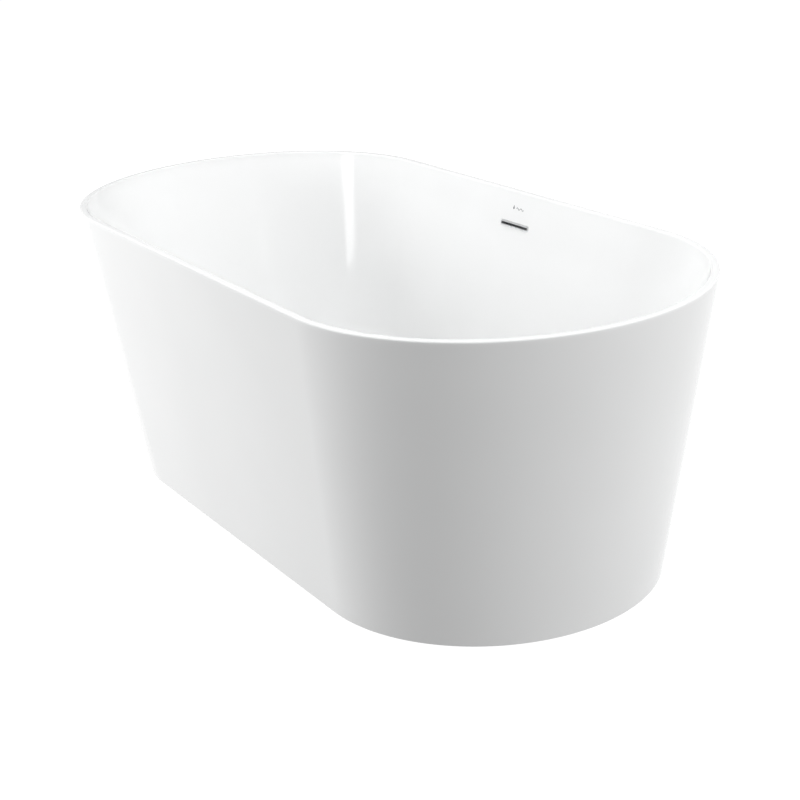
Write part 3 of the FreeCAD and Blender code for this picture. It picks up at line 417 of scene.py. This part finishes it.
# ---------------------------------------------------------------- fasteners
# Bolts, screws and nuts are bright zinc-plated steel, with a faint yellow passivation.
def zinc_plate():
    finish = Finish("zinc_plate", 0.3, metallic=1.0)
    finish.colour(finish.noise(150.0), (0.56, 0.55, 0.50), (0.74, 0.73, 0.68))
    finish.roughness(finish.noise(220.0), 0.22, 0.42)
    finish.relief(finish.noise(900.0), 0.0001, 0.5)
    return finish.material


zinc = zinc_plate()
dress(zinc, "board_screws", "frame_bolts", "bracket_bolts", "flange_screws", "weld_nuts",
      "lock_nuts")


# ---------------------------------------------------------------- levelling feet
# Each foot is a moulded nylon pad with radial ribs and a threaded M12 stem that turns in it.
# The stem screws up through the nuts on the crossbar.
FEET = [f"{side}_{bar}" for bar in ("left", "mid", "right") for side in ("front", "back")]
THREAD_PITCH = 0.00175
THREAD_CREST = 0.0059
THREAD_ROOT = 0.0051
THREAD_STEPS = 18
RIB_COUNT = 12
RIB_LENGTH = 0.011
RIB_THICKNESS = 0.0016
RIB_HEIGHT = 0.006
RIB_MIDDLE = 0.0170
RIB_LEVEL = 0.0088
RIB_FALL = 0.0040


def turned_mesh(profile, steps=72):
    """Spin a closed outline of (radius, level) points once round the upright axis."""
    mesh = bmesh.new()
    corners = [mesh.verts.new((radius, 0, level)) for radius, level in profile]
    edges = [mesh.edges.new(pair) for pair in zip(corners, corners[1:])]
    if profile[0][0] > 1e-9:
        edges.append(mesh.edges.new((corners[-1], corners[0])))
    bmesh.ops.spin(mesh, geom=corners + edges, cent=(0, 0, 0), axis=(0, 0, 1), angle=2 * pi,
                   steps=steps, use_merge=True)
    bmesh.ops.remove_doubles(mesh, verts=mesh.verts, dist=1e-6)
    return mesh


def soften(mesh, width, angle=30, segments=2):
    """Round the edges of a mesh that are sharper than an angle."""
    bmesh.ops.recalc_face_normals(mesh, faces=mesh.faces)
    sharp = [edge for edge in mesh.edges
             if len(edge.link_faces) == 2 and edge.calc_face_angle(0) > radians(angle)]
    bmesh.ops.bevel(mesh, geom=sharp, offset=width, affect="EDGES", segments=segments,
                    profile=0.5, material=-1, clamp_overlap=True)


def shift(mesh, place):
    bmesh.ops.translate(mesh, verts=mesh.verts, vec=Vector(place))


def pad_mesh(middle):
    mesh = turned_mesh([(0.0, 0.0), (0.0238, 0.0), (0.025, 0.0012), (0.025, 0.0058),
                        (0.0238, 0.007), (0.0135, 0.0078), (0.0115, 0.0095), (0.011, 0.018),
                        (0.006, 0.018), (0.006, 0.006), (0.0, 0.006)], 48)
    soften(mesh, 0.0004)
    for number in range(RIB_COUNT):
        rib = bmesh.ops.create_cube(mesh, size=1.0)["verts"]
        bmesh.ops.scale(mesh, vec=(RIB_LENGTH, RIB_THICKNESS, RIB_HEIGHT), verts=rib)
        bmesh.ops.translate(mesh, vec=(RIB_MIDDLE, 0, RIB_LEVEL), verts=rib)
        for vertex in rib:
            if vertex.co.x > RIB_MIDDLE and vertex.co.z > RIB_LEVEL:
                vertex.co.z -= RIB_FALL
        bmesh.ops.rotate(mesh, verts=rib, cent=(0, 0, 0),
                         matrix=Matrix.Rotation(2 * pi * number / RIB_COUNT, 3, "Z"))
    shift(mesh, (middle.x, middle.y, 0))
    return mesh


def thread_mesh(middle, bottom, top):
    """A zigzag flank spun once round while it climbs one pitch, then trimmed at both ends."""
    mesh = bmesh.new()
    turns = int((top - bottom) / THREAD_PITCH) + 3
    start = bottom - 1.5 * THREAD_PITCH
    corners = []
    for number in range(turns):
        level = start + number * THREAD_PITCH
        corners.append(mesh.verts.new((THREAD_ROOT, 0, level)))
        corners.append(mesh.verts.new((THREAD_CREST, 0, level + 0.45 * THREAD_PITCH)))
        corners.append(mesh.verts.new((THREAD_CREST, 0, level + 0.6 * THREAD_PITCH)))
    edges = [mesh.edges.new(pair) for pair in zip(corners, corners[1:])]
    bmesh.ops.spin(mesh, geom=corners + edges, cent=(0, 0, 0), axis=(0, 0, 1), angle=2 * pi,
                   dvec=(0, 0, THREAD_PITCH / THREAD_STEPS), steps=THREAD_STEPS)
    bmesh.ops.remove_doubles(mesh, verts=mesh.verts, dist=1e-5)
    for level, up in ((bottom, -1), (top, 1)):
        bmesh.ops.bisect_plane(mesh, geom=mesh.verts[:] + mesh.edges[:] + mesh.faces[:],
                               plane_co=(0, 0, level), plane_no=(0, 0, up), clear_outer=True)
        rim = [edge for edge in mesh.edges
               if edge.is_boundary and all(abs(v.co.z - level) < 1e-6 for v in edge.verts)]
        bmesh.ops.holes_fill(mesh, edges=rim, sides=0)
    shift(mesh, (middle.x, middle.y, 0))
    return mesh


def black_nylon():
    finish = Finish("black_nylon", 0.5)
    finish.colour(finish.noise(120.0), (0.012, 0.012, 0.013), (0.03, 0.03, 0.032))
    finish.roughness(finish.noise(300.0), 0.4, 0.62)
    finish.relief(finish.noise(1400.0), 0.0001, 0.5)
    return finish.material


nylon = black_nylon()
for foot in FEET:
    low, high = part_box(f"foot_stem_{foot}")
    middle = (low + high) / 2
    pad = make_piece(f"ribbed_pad_{foot}", pad_mesh(middle), nylon, f"pad_{foot}", f"foot_pad_{foot}")
    stem = make_piece(f"threaded_stem_{foot}", thread_mesh(middle, low.z, high.z), zinc,
                      f"stem_{foot}", f"foot_stem_{foot}")


# ---------------------------------------------------------------- overflow
# A chromed bezel lines the slot in the back wall and plugs into a slim moulded box behind it.
# A foam gasket seals the box to the laminate.
BEZEL_LIP = 0.002
BEZEL_WALL = 0.0015
BEZEL_CLEARANCE = 0.00005
BEZEL_RISE = 0.0016
BEZEL_EDGE = 0.0006
BEZEL_SLEEVE = 0.0115


def bezel_mesh():
    mesh = bmesh.new()
    straight = SLOT_HALF_LENGTH - SLOT_HALF_HEIGHT
    wide = SLOT_HALF_HEIGHT + BEZEL_LIP
    plug = SLOT_HALF_HEIGHT - BEZEL_CLEARANCE
    bore = SLOT_HALF_HEIGHT - BEZEL_WALL
    top = BEZEL_RISE
    back = -BEZEL_SLEEVE * cos(atan(SIDE_LEAN))
    form_wall(mesh, [(wide, straight, 0.0),
                     (wide, straight, top - BEZEL_EDGE),
                     (wide - 0.3 * BEZEL_EDGE, straight, top - 0.3 * BEZEL_EDGE),
                     (wide - BEZEL_EDGE, straight, top),
                     (bore + BEZEL_EDGE, straight, top),
                     (bore + 0.3 * BEZEL_EDGE, straight, top - 0.3 * BEZEL_EDGE),
                     (bore, straight, top - BEZEL_EDGE),
                     (bore, straight, 0.0),
                     (bore, straight, back),
                     (plug, straight, back),
                     (plug, straight, 0.0)])
    lay_on_wall(mesh, 0.0, SLOT_LEVEL)
    return mesh


def chrome_plate():
    finish = Finish("chrome_plate", 0.06, metallic=1.0)
    finish.colour(finish.noise(25.0), (0.60, 0.61, 0.62), (0.68, 0.69, 0.70))
    finish.roughness(finish.noise(60.0), 0.04, 0.10)
    finish.relief(finish.noise(40.0), 0.0001, 0.3)
    return finish.material


def satin_chrome():
    finish = Finish("satin_chrome", 0.3, metallic=1.0)
    finish.colour(finish.noise(30.0), (0.82, 0.83, 0.84), (0.88, 0.89, 0.90))
    finish.roughness(finish.noise(90.0), 0.26, 0.36)
    finish.relief(finish.noise(500.0, 3.0, finish.stretched((0.1, 1.0, 1.0))), 0.0001, 0.3)
    return finish.material


def pale_plastic():
    finish = Finish("pale_plastic", 0.55)
    finish.colour(finish.noise(90.0), (0.46, 0.46, 0.47), (0.56, 0.56, 0.57))
    finish.roughness(finish.noise(240.0), 0.45, 0.65)
    finish.relief(finish.noise(900.0), 0.0001, 0.5)
    return finish.material


def sealing_foam():
    finish = Finish("sealing_foam", 0.9)
    finish.colour(finish.cells(900.0), (0.02, 0.02, 0.02), (0.06, 0.06, 0.06))
    finish.relief(finish.cells(900.0), 0.0004, 0.9)
    return finish.material


chrome = chrome_plate()
bezel = make_piece("slot_bezel", bezel_mesh(), satin_chrome(), "tub", "overflow_trim")
dress(pale_plastic(), "overflow_housing")
dress(sealing_foam(), "overflow_gasket")


# ---------------------------------------------------------------- overflow hose
# A corrugated polyethylene hose drops down the cavity from the box on the cavity's own lean,
# takes one wide bend and runs level to the waste. A steel band clamp holds each end.
HOSE_TOP = 0.424
HOSE_LEVEL = 0.078
HOSE_END = 0.048
HOSE_BEND = 0.150
HOSE_RADIUS = 0.015
HOSE_BORE = 0.0125
RIB_PITCH = 0.0045
RIB_DEPTH = 0.0018
HOSE_STEPS = 28
BORE_CLEARANCE = 0.0002
CORRUGATION = (0.0, 0.6, 1.0, 0.6)
CAVITY_SKIN = 0.008


def hose_stations():
    """Places and headings along the hose, four to each corrugation."""
    apron_lean = (RIM_RADIUS - BASE_RADIUS) / TUB_HEIGHT
    lean = atan((SIDE_LEAN + apron_lean) / 2)
    well_reach = MOUTH_RADIUS - SIDE_LEAN * (TUB_HEIGHT - HOSE_TOP) + CAVITY_SKIN
    apron_reach = BASE_RADIUS + apron_lean * HOSE_TOP - CAVITY_SKIN
    start = Vector((0, (well_reach + apron_reach) / 2, HOSE_TOP))
    corner = Vector((0, start.y - (start.z - HOSE_LEVEL) * tan(lean), HOSE_LEVEL))
    down = (corner - start).normalized()
    level = Vector((0, -1, 0))
    tangent = HOSE_BEND * tan((pi / 2 - lean) / 2)
    straight = (corner - start).length - tangent
    bend = HOSE_BEND * (pi / 2 - lean)
    run = corner.y - tangent - HOSE_END
    centre = Vector((0, corner.y - tangent, HOSE_LEVEL + HOSE_BEND))
    count = int((straight + bend + run) / (RIB_PITCH / 4))
    for number in range(count + 1):
        along = (straight + bend + run) * number / count
        if along <= straight:
            yield start + down * along, down, number
        elif along <= straight + bend:
            swing = lean + (along - straight) / HOSE_BEND
            place = centre + HOSE_BEND * Vector((0, cos(swing), -sin(swing)))
            yield place, Vector((0, -sin(swing), -cos(swing))), number
        else:
            yield corner + level * (tangent + along - straight - bend), level, number


def hose_mesh():
    """A ring drawn along the hose over each corrugation, then back along the smooth bore."""
    mesh = bmesh.new()
    outside = []
    inside = []
    for place, heading, number in hose_stations():
        across = Vector((1, 0, 0))
        turn = Matrix((across, heading.cross(across), heading)).transposed().to_4x4()
        crest = CORRUGATION[number % len(CORRUGATION)]
        radius = HOSE_RADIUS - RIB_DEPTH * (1 - crest)
        outside.append(Matrix.Translation(place) @ turn @ Matrix.Scale(radius, 4))
        inside.append(Matrix.Translation(place) @ turn @ Matrix.Scale(HOSE_BORE + BORE_CLEARANCE, 4))
    route = outside + inside[::-1] + outside[:1]
    circle = bmesh.ops.create_circle(mesh, segments=HOSE_STEPS, radius=1.0, matrix=route[0])
    edges = loop_edges(circle["verts"])
    for last, following in zip(route, route[1:]):
        verts, edges = drawn_on(mesh, edges)
        bmesh.ops.transform(mesh, matrix=following @ last.inverted(), verts=verts)
    return mesh


def grey_polyethylene():
    finish = Finish("grey_polyethylene", 0.4)
    finish.colour(finish.noise(40.0), (0.52, 0.53, 0.54), (0.62, 0.63, 0.64))
    finish.roughness(finish.noise(200.0), 0.3, 0.5)
    finish.relief(finish.noise(700.0), 0.0001, 0.5)
    return finish.material


hose = make_piece("corrugated_hose", hose_mesh(), grey_polyethylene(), "tub", "overflow_hose",
                  sharp=60)
dress(zinc, "hose_clamp_upper", "hose_clamp_lower")


# ---------------------------------------------------------------- waste
# A chromed flange is screwed down through the floor into a moulded waste body, with a rubber
# seal above and below the shell. The body takes the hose at its side and the outlet pipe below,
# which a fluted hand nut and washer hold.
FLANGE_TOP = 0.1515
FLANGE_UNDER = 0.149
FLANGE_RADIUS = 0.035
WASTE_BORE = 0.022


def flange_mesh():
    mesh = turned_mesh([(WASTE_BORE, 0.116), (0.025, 0.116), (0.025, FLANGE_UNDER),
                        (FLANGE_RADIUS, FLANGE_UNDER), (FLANGE_RADIUS, FLANGE_UNDER + 0.0008),
                        (FLANGE_RADIUS - 0.0007, FLANGE_UNDER + 0.0017),
                        (FLANGE_RADIUS - 0.002, FLANGE_TOP), (WASTE_BORE + 0.0015, FLANGE_TOP),
                        (WASTE_BORE, FLANGE_TOP - 0.0015)], 96)
    soften(mesh, 0.0002)
    return mesh


def white_polypropylene():
    finish = Finish("white_polypropylene", 0.42)
    finish.colour(finish.noise(30.0), (0.68, 0.68, 0.66), (0.76, 0.76, 0.74))
    finish.roughness(finish.noise(180.0), 0.34, 0.5)
    finish.relief(finish.noise(600.0), 0.0001, 0.5)
    return finish.material


def grey_moulding():
    finish = Finish("grey_moulding", 0.45)
    finish.colour(finish.noise(60.0), (0.13, 0.135, 0.14), (0.19, 0.195, 0.20))
    finish.roughness(finish.noise(240.0), 0.36, 0.55)
    finish.relief(finish.noise(800.0), 0.0001, 0.5)
    return finish.material


def black_rubber():
    finish = Finish("black_rubber", 0.75)
    finish.colour(finish.noise(200.0), (0.012, 0.012, 0.012), (0.03, 0.03, 0.03))
    finish.relief(finish.noise(1200.0), 0.0001, 0.6)
    return finish.material


rubber = black_rubber()
moulding = grey_moulding()
waste_flange = make_piece("waste_flange", flange_mesh(), chrome, "tub", "drain_flange")
dress(white_polypropylene(), "drain_tee", "outlet_pipe")
dress(moulding, "slip_nut", "stopper_cartridge")
dress(rubber, "drain_seal_upper", "drain_seal_lower", "slip_washer", "stopper_seal")


# ---------------------------------------------------------------- pop-up stopper
# A domed chromed cap lifts on a stem in the middle of the waste. A light spring round the stem
# stands on the cartridge.
CAP_UNDER = 0.153
CAP_RADIUS = 0.032
CAP_EDGE = 0.003
CAP_DOME = 0.006
STEM_RADIUS = 0.004
STEM_BOTTOM = 0.108
CARTRIDGE_TOP = 0.128
SPRING_RADIUS = 0.006
SPRING_WIRE = 0.0005
SPRING_TURNS = 6


def cap_mesh():
    crown = [(CAP_RADIUS * share, CAP_UNDER + CAP_EDGE + (CAP_DOME - CAP_EDGE) * (1 - share ** 2))
             for share in (0.93, 0.8, 0.65, 0.5, 0.35, 0.2, 0.08)]
    mesh = turned_mesh([(0.0, CAP_UNDER), (CAP_RADIUS - 0.0012, CAP_UNDER),
                        (CAP_RADIUS - 0.0003, CAP_UNDER + 0.0004), (CAP_RADIUS, CAP_UNDER + 0.0012),
                        (CAP_RADIUS, CAP_UNDER + 0.002),
                        (CAP_RADIUS - 0.0005, CAP_UNDER + 0.0028), *crown,
                        (0.0, CAP_UNDER + CAP_DOME)], 96)
    return mesh


def spring_mesh():
    """A wire's round section spun up the stem."""
    mesh = bmesh.new()
    bottom = CARTRIDGE_TOP + SPRING_WIRE
    rise = CAP_UNDER - CARTRIDGE_TOP - 2 * SPRING_WIRE
    place = Matrix.Translation((SPRING_RADIUS, 0, bottom)) @ Matrix.Rotation(pi / 2, 4, "X")
    wire = bmesh.ops.create_circle(mesh, segments=8, radius=SPRING_WIRE, matrix=place)
    section = bmesh.ops.contextual_create(mesh, geom=loop_edges(wire["verts"]))["faces"]
    steps = SPRING_TURNS * 24
    bmesh.ops.spin(mesh, geom=section, cent=(0, 0, 0), axis=(0, 0, 1), angle=2 * pi * SPRING_TURNS,
                   dvec=(0, 0, rise / steps), steps=steps)
    ends = [edge for edge in mesh.edges if edge.is_boundary]
    bmesh.ops.holes_fill(mesh, edges=ends, sides=0)
    return mesh


cap = make_piece("pop_up_cap", cap_mesh(), chrome, "stopper", "stopper_cap")
rod = turned_mesh([(0.0, STEM_BOTTOM), (STEM_RADIUS - 0.0008, STEM_BOTTOM),
                   (STEM_RADIUS, STEM_BOTTOM + 0.0008), (STEM_RADIUS, CAP_UNDER), (0.0, CAP_UNDER)], 32)
cap_stem = make_piece("pop_up_stem", rod, chrome, "stopper", "stopper_stem")
spring = make_loose("pop_up_spring", spring_mesh(), zinc, sharp=70)
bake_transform(spring)
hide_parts("stopper_spring")


# ---------------------------------------------------------------- printed mark
# The maker prints a small grey mark above the slot. Here it is a plain water drop beside a
# wavy line, as thin as ink.
MARK_LEVEL = 0.566
MARK_THICKNESS = 0.0001
DROP_RADIUS = 0.0028
WAVE_LENGTH = 0.026
WAVE_STROKE = 0.0017
WAVE_SWING = 0.0018
WAVE_COUNT = 2
DROP_ACROSS = -0.014
WAVE_ACROSS = 0.008


def drop_mesh():
    mesh = bmesh.new()
    drop = bmesh.ops.create_circle(mesh, cap_ends=True, segments=40, radius=DROP_RADIUS)["verts"]
    for vertex in drop:
        if vertex.co.y > 0:
            share = vertex.co.y / DROP_RADIUS
            vertex.co.x *= 1 - 0.55 * share ** 2
            vertex.co.y *= 1 + 1.1 * share ** 2
    bmesh.ops.solidify(mesh, geom=mesh.faces[:], thickness=MARK_THICKNESS)
    lay_on_wall(mesh, DROP_ACROSS, MARK_LEVEL, proud=1.5 * MARK_THICKNESS)
    return mesh


def wave_mesh():
    mesh = bmesh.new()
    strip = bmesh.ops.create_grid(mesh, x_segments=48, y_segments=1, size=0.5)["verts"]
    bmesh.ops.scale(mesh, vec=(WAVE_LENGTH, WAVE_STROKE, 1), verts=strip)
    for vertex in strip:
        vertex.co.y += WAVE_SWING * sin(WAVE_COUNT * 2 * pi * vertex.co.x / WAVE_LENGTH)
    bmesh.ops.solidify(mesh, geom=mesh.faces[:], thickness=MARK_THICKNESS)
    lay_on_wall(mesh, WAVE_ACROSS, MARK_LEVEL, proud=1.5 * MARK_THICKNESS)
    return mesh


def grey_ink():
    finish = Finish("grey_ink", 0.45)
    finish.colour(finish.noise(700.0), (0.16, 0.165, 0.17), (0.24, 0.245, 0.25))
    finish.roughness(finish.noise(900.0), 0.35, 0.6)
    return finish.material


ink = grey_ink()
for name, mesh in (("printed_drop", drop_mesh()), ("printed_wave", wave_mesh())):
    make_piece(name, mesh, ink, "tub")


# ---------------------------------------------------------------- room
# The tub stands on a plain white studio floor with nothing behind it. Large soft lights hang
# above and at both sides, and a narrow one makes the upright streak inside the far end.
FLOOR_REACH = 90.0


def studio_floor():
    finish = Finish("studio_floor", 0.9)
    finish.colour(finish.noise(0.4, 2.0), (0.10, 0.10, 0.10), (0.11, 0.11, 0.11))
    finish.shader.inputs["Emission Color"].default_value = (1, 1, 1, 1)
    finish.shader.inputs["Emission Strength"].default_value = 1.0
    finish.shader.inputs["Specular IOR Level"].default_value = 0.0
    return finish.material


def soft_light(name, place, aim, width, height, power, mirrored=False):
    """A rectangular lamp that faces a point, and shows in glossy surfaces only if mirrored."""
    lamp = bpy.data.lights.new(name, "AREA")
    lamp.shape = "RECTANGLE"
    lamp.size = width
    lamp.size_y = height
    lamp.energy = power
    holder = bpy.data.objects.new(name, lamp)
    bpy.context.scene.collection.objects.link(holder)
    holder.location = place
    holder.rotation_mode = "QUATERNION"
    holder.rotation_quaternion = (Vector(aim) - Vector(place)).to_track_quat("-Z", "Y")
    holder.visible_glossy = mirrored
    return holder


def streak(name, place, aim, width, height, power):
    """A narrow lamp seen only as a bright streak in glossy surfaces."""
    holder = soft_light(name, place, aim, width, height, power, mirrored=True)
    holder.visible_diffuse = False


floor_mesh = bmesh.new()
bmesh.ops.create_grid(floor_mesh, x_segments=1, y_segments=1, size=FLOOR_REACH)
floor_data = bpy.data.meshes.new("studio_floor")
floor_mesh.to_mesh(floor_data)
floor_mesh.free()
floor_data.materials.append(studio_floor())
floor = bpy.data.objects.new("studio_floor", floor_data)
bpy.context.scene.collection.objects.link(floor)
floor.visible_diffuse = False

world = bpy.data.worlds.new("studio")
world.use_nodes = True
world.node_tree.nodes["Background"].inputs["Color"].default_value = (1, 1, 1, 1)
world.node_tree.nodes["Background"].inputs["Strength"].default_value = 0.455
bpy.context.scene.world = world

soft_light("overhead", (0.5, 0.0, 3.2), (0.0, 0.0, 0.3), 3.6, 2.4, 81)
soft_light("left_side", (-2.75, -2.5, 1.0), (0.0, 0.0, 0.30), 2.0, 2.0, 103)
soft_light("right_side", (3.2, 1.75, 1.0), (0.0, 0.0, 0.30), 1.8, 1.8, 46)
streak("far_end_streak", (-0.76, -2.6, 1.92), (-0.60, 0.30, 0.45), 0.42, 1.0, 5.5)
streak("near_streak", (1.67, -0.6, 2.0), (-0.70, 0.11, 0.35), 0.25, 0.8, 0.45)

CAMERA_AZIMUTH = radians(59.834)
CAMERA_ELEVATION = radians(20.18)
CAMERA_ROLL = radians(-3.729)
CAMERA_DISTANCE = 3.208
CAMERA_AIM = Vector((0.204, -0.061, 0.300))

back = Vector((sin(CAMERA_AZIMUTH) * cos(CAMERA_ELEVATION),
               -cos(CAMERA_AZIMUTH) * cos(CAMERA_ELEVATION), sin(CAMERA_ELEVATION)))
lens = bpy.data.cameras.new("camera")
lens.lens = 74.39
lens.sensor_width = 36.0
lens.clip_end = 200.0
camera = bpy.data.objects.new("camera", lens)
bpy.context.scene.collection.objects.link(camera)
camera.location = CAMERA_AIM + back * CAMERA_DISTANCE
camera.rotation_mode = "QUATERNION"
camera.rotation_quaternion = back.to_track_quat("Z", "Y") @ Quaternion((0, 0, 1), CAMERA_ROLL)
bpy.context.scene.camera = camera
bpy.context.scene.view_settings.view_transform = "Standard"

bpy.context.view_layer.update()
